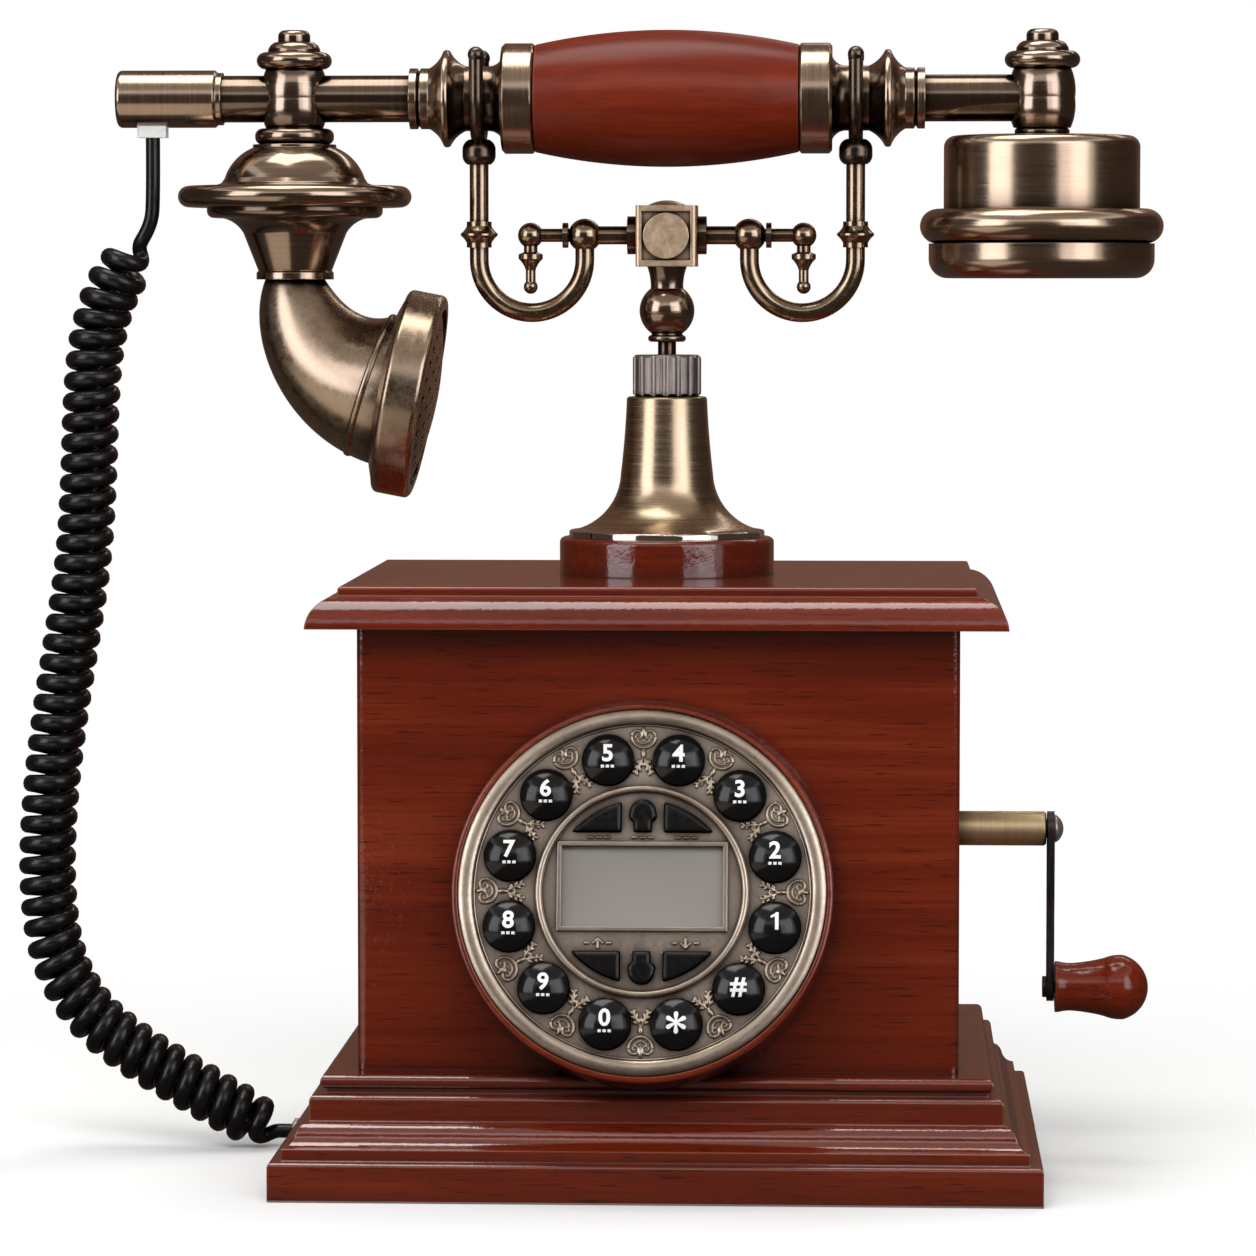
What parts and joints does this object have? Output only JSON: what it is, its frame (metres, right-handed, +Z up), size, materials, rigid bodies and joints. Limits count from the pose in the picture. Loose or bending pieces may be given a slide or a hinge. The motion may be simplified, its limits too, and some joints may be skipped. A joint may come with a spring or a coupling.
{
  "type": "cradle phone",
  "caption": "Old-style desk phone with a wooden cabinet, leaning key dial, brass cradle and handset, side crank and curly cord.",
  "frame": {"origin": "middle of the plinth's bottom face, on the table", "axes": "+Z up, +X to the right of the dial towards the crank, -Y out of the front where the dial is"},
  "size_m": [0.3034, 0.1717, 0.2973],
  "materials": {
    "lacquered_wood": "red-brown gloss lacquer",
    "grip_wood": "red-brown satin lacquer",
    "antique_brass": "brushed antique",
    "grey_steel": "satin",
    "black_plastic": "gloss",
    "cord_plastic": "gloss",
    "clear_plastic": "clear",
    "display_glass": "satin",
    "board_green": "matt",
    "cover_board": "matt",
    "foot_rubber": "matt"
  },
  "bodies": {
    "cabinet": {"base_plinth": "lacquered_wood", "cabinet_box": "lacquered_wood", "lid": "lacquered_wood", "bottom_cover": "cover_board", "rubber_feet": "foot_rubber", "dial_housing": "lacquered_wood", "dial_plate": "antique_brass", "display": "display_glass", "keypad_board": "board_green", "main_board": "board_green", "line_jack": "black_plastic", "cord_socket": "black_plastic", "cord_plug": "clear_plastic", "pedestal_disc": "lacquered_wood", "pedestal_bell": "antique_brass", "knurled_collar": "grey_steel", "crank_bush": "antique_brass", "plunger_spring": "grey_steel", "handset_cord": "cord_plastic"},
    "cradle": {"cradle_stem": "antique_brass", "cradle_post": "antique_brass", "cradle_arms": "antique_brass", "cradle_hooks": "antique_brass", "cradle_forks": "antique_brass"},
    "handset": {"grip": "grip_wood", "grip_ferrules": "antique_brass", "handset_tube": "antique_brass", "mouth_post": "antique_brass", "ear_post": "antique_brass", "post_nuts": "antique_brass", "cord_cap": "antique_brass", "cord_clamp": "clear_plastic", "mouth_bell": "antique_brass", "mouth_elbow": "antique_brass", "mouthpiece": "antique_brass", "mouth_grille": "antique_brass", "handset_capsules": "black_plastic", "ear_shell": "antique_brass", "ear_cap": "antique_brass"},
    "crank": {"crank_shaft": "grey_steel", "crank_arm": "antique_brass"},
    "crank_handle": {"crank_knob": "lacquered_wood"},
    "key_1": {"key_1": "black_plastic"},
    "key_2": {"key_2": "black_plastic"},
    "key_3": {"key_3": "black_plastic"},
    "key_4": {"key_4": "black_plastic"},
    "key_5": {"key_5": "black_plastic"},
    "key_6": {"key_6": "black_plastic"},
    "key_7": {"key_7": "black_plastic"},
    "key_8": {"key_8": "black_plastic"},
    "key_9": {"key_9": "black_plastic"},
    "key_0": {"key_0": "black_plastic"},
    "key_star": {"key_star": "black_plastic"},
    "key_hash": {"key_hash": "black_plastic"},
    "top_left_key": {"top_left_key": "black_plastic"},
    "top_middle_key": {"top_middle_key": "black_plastic"},
    "top_right_key": {"top_right_key": "black_plastic"},
    "bottom_left_key": {"bottom_left_key": "black_plastic"},
    "bottom_middle_key": {"bottom_middle_key": "black_plastic"},
    "bottom_right_key": {"bottom_right_key": "black_plastic"}
  },
  "joints": [
    {"name": "handset_lift", "type": "slide", "parent": "cabinet", "child": "handset", "axis": [0, 0, 1], "range_m": [0, 0.06], "deforming": ["handset_cord"]},
    {"name": "cradle_plunge", "type": "slide", "parent": "cabinet", "child": "cradle", "axis": [0, 0, 1], "range_m": [0, 0.004], "deforming": ["plunger_spring"]},
    {"name": "crank_turn", "type": "hinge", "parent": "cabinet", "child": "crank", "pos_m": [0.0765, 0, 0.0869], "axis": [1, 0, 0], "continuous": true},
    {"name": "crank_handle_spin", "type": "hinge", "parent": "crank", "child": "crank_handle", "pos_m": [0.115, 0, 0.0448], "axis": [1, 0, 0], "continuous": true},
    {"name": "key_1_press", "type": "slide", "parent": "cabinet", "child": "key_1", "axis": [0, 0.9703, -0.2419], "range_m": [0, 0.0015], "stiffness_N_per_m": 400},
    {"name": "key_2_press", "type": "slide", "parent": "cabinet", "child": "key_2", "axis": [0, 0.9703, -0.2419], "range_m": [0, 0.0015], "stiffness_N_per_m": 400},
    {"name": "key_3_press", "type": "slide", "parent": "cabinet", "child": "key_3", "axis": [0, 0.9703, -0.2419], "range_m": [0, 0.0015], "stiffness_N_per_m": 400},
    {"name": "key_4_press", "type": "slide", "parent": "cabinet", "child": "key_4", "axis": [0, 0.9703, -0.2419], "range_m": [0, 0.0015], "stiffness_N_per_m": 400},
    {"name": "key_5_press", "type": "slide", "parent": "cabinet", "child": "key_5", "axis": [0, 0.9703, -0.2419], "range_m": [0, 0.0015], "stiffness_N_per_m": 400},
    {"name": "key_6_press", "type": "slide", "parent": "cabinet", "child": "key_6", "axis": [0, 0.9703, -0.2419], "range_m": [0, 0.0015], "stiffness_N_per_m": 400},
    {"name": "key_7_press", "type": "slide", "parent": "cabinet", "child": "key_7", "axis": [0, 0.9703, -0.2419], "range_m": [0, 0.0015], "stiffness_N_per_m": 400},
    {"name": "key_8_press", "type": "slide", "parent": "cabinet", "child": "key_8", "axis": [0, 0.9703, -0.2419], "range_m": [0, 0.0015], "stiffness_N_per_m": 400},
    {"name": "key_9_press", "type": "slide", "parent": "cabinet", "child": "key_9", "axis": [0, 0.9703, -0.2419], "range_m": [0, 0.0015], "stiffness_N_per_m": 400},
    {"name": "key_0_press", "type": "slide", "parent": "cabinet", "child": "key_0", "axis": [0, 0.9703, -0.2419], "range_m": [0, 0.0015], "stiffness_N_per_m": 400},
    {"name": "key_star_press", "type": "slide", "parent": "cabinet", "child": "key_star", "axis": [0, 0.9703, -0.2419], "range_m": [0, 0.0015], "stiffness_N_per_m": 400},
    {"name": "key_hash_press", "type": "slide", "parent": "cabinet", "child": "key_hash", "axis": [0, 0.9703, -0.2419], "range_m": [0, 0.0015], "stiffness_N_per_m": 400},
    {"name": "top_left_key_press", "type": "slide", "parent": "cabinet", "child": "top_left_key", "axis": [0, 0.9703, -0.2419], "range_m": [0, 0.0015], "stiffness_N_per_m": 400},
    {"name": "top_middle_key_press", "type": "slide", "parent": "cabinet", "child": "top_middle_key", "axis": [0, 0.9703, -0.2419], "range_m": [0, 0.0015], "stiffness_N_per_m": 400},
    {"name": "top_right_key_press", "type": "slide", "parent": "cabinet", "child": "top_right_key", "axis": [0, 0.9703, -0.2419], "range_m": [0, 0.0015], "stiffness_N_per_m": 400},
    {"name": "bottom_left_key_press", "type": "slide", "parent": "cabinet", "child": "bottom_left_key", "axis": [0, 0.9703, -0.2419], "range_m": [0, 0.0015], "stiffness_N_per_m": 400},
    {"name": "bottom_middle_key_press", "type": "slide", "parent": "cabinet", "child": "bottom_middle_key", "axis": [0, 0.9703, -0.2419], "range_m": [0, 0.0015], "stiffness_N_per_m": 400},
    {"name": "bottom_right_key_press", "type": "slide", "parent": "cabinet", "child": "bottom_right_key", "axis": [0, 0.9703, -0.2419], "range_m": [0, 0.0015], "stiffness_N_per_m": 400}
  ],
  "couplings": [
    {"joint": "cradle_plunge", "follows": "handset_lift", "ratio": 0.0666}
  ]
}
